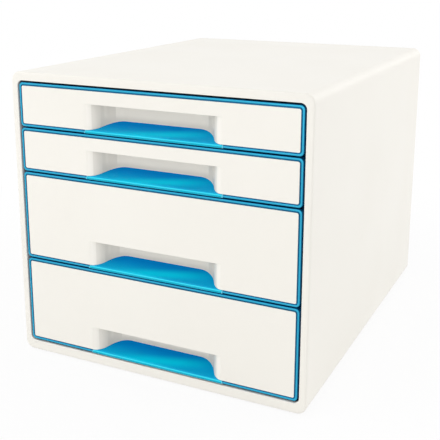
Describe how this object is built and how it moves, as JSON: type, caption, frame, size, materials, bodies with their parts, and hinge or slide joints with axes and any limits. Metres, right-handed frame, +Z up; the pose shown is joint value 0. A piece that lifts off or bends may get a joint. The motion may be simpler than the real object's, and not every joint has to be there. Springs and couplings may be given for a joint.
{
  "type": "desktop drawer cabinet",
  "caption": "Desktop drawer cabinet: a rounded gloss casing with stacked sliding drawers, each with a rimmed white front and a scooped finger pull.",
  "frame": {"origin": "on the table under the middle of the cabinet: the bottom centre of the bounding box, with the drawers closed", "axes": "+X to the right as seen from the front, +Y from the front to the back (the drawers open towards -Y), +Z up"},
  "size_m": [0.287, 0.363, 0.27],
  "materials": {
    "casing_white": "high gloss, warm white",
    "fascia_white": "high gloss, warm white",
    "tray_white": "satin, warm white",
    "liner_white": "fine matt",
    "rim_blue": "gloss pearl blue",
    "lip_blue": "gloss pearl blue",
    "screw_steel": "zinc plated",
    "foot_rubber": "matt grey"
  },
  "bodies": {
    "casing": {"casing_shell": "casing_white", "rear_panel": "liner_white", "rear_panel_screws": "screw_steel", "left_runner_panel": "liner_white", "right_runner_panel": "liner_white", "front_left_foot": "foot_rubber", "front_right_foot": "foot_rubber", "rear_left_foot": "foot_rubber", "rear_right_foot": "foot_rubber"},
    "drawer_1": {"drawer_1_tray": "tray_white", "drawer_1_front_frame": "rim_blue", "drawer_1_fascia": "fascia_white", "drawer_1_pull_lip": "lip_blue"},
    "drawer_2": {"drawer_2_tray": "tray_white", "drawer_2_front_frame": "rim_blue", "drawer_2_fascia": "fascia_white", "drawer_2_pull_lip": "lip_blue"},
    "drawer_3": {"drawer_3_tray": "tray_white", "drawer_3_front_frame": "rim_blue", "drawer_3_fascia": "fascia_white", "drawer_3_pull_lip": "lip_blue"},
    "drawer_4": {"drawer_4_tray": "tray_white", "drawer_4_front_frame": "rim_blue", "drawer_4_fascia": "fascia_white", "drawer_4_pull_lip": "lip_blue"}
  },
  "joints": [
    {"name": "drawer_1_slide", "type": "slide", "parent": "casing", "child": "drawer_1", "axis": [0, -1, 0], "range_m": [0, 0.25]},
    {"name": "drawer_2_slide", "type": "slide", "parent": "casing", "child": "drawer_2", "axis": [0, -1, 0], "range_m": [0, 0.25]},
    {"name": "drawer_3_slide", "type": "slide", "parent": "casing", "child": "drawer_3", "axis": [0, -1, 0], "range_m": [0, 0.25]},
    {"name": "drawer_4_slide", "type": "slide", "parent": "casing", "child": "drawer_4", "axis": [0, -1, 0], "range_m": [0, 0.25]}
  ]
}
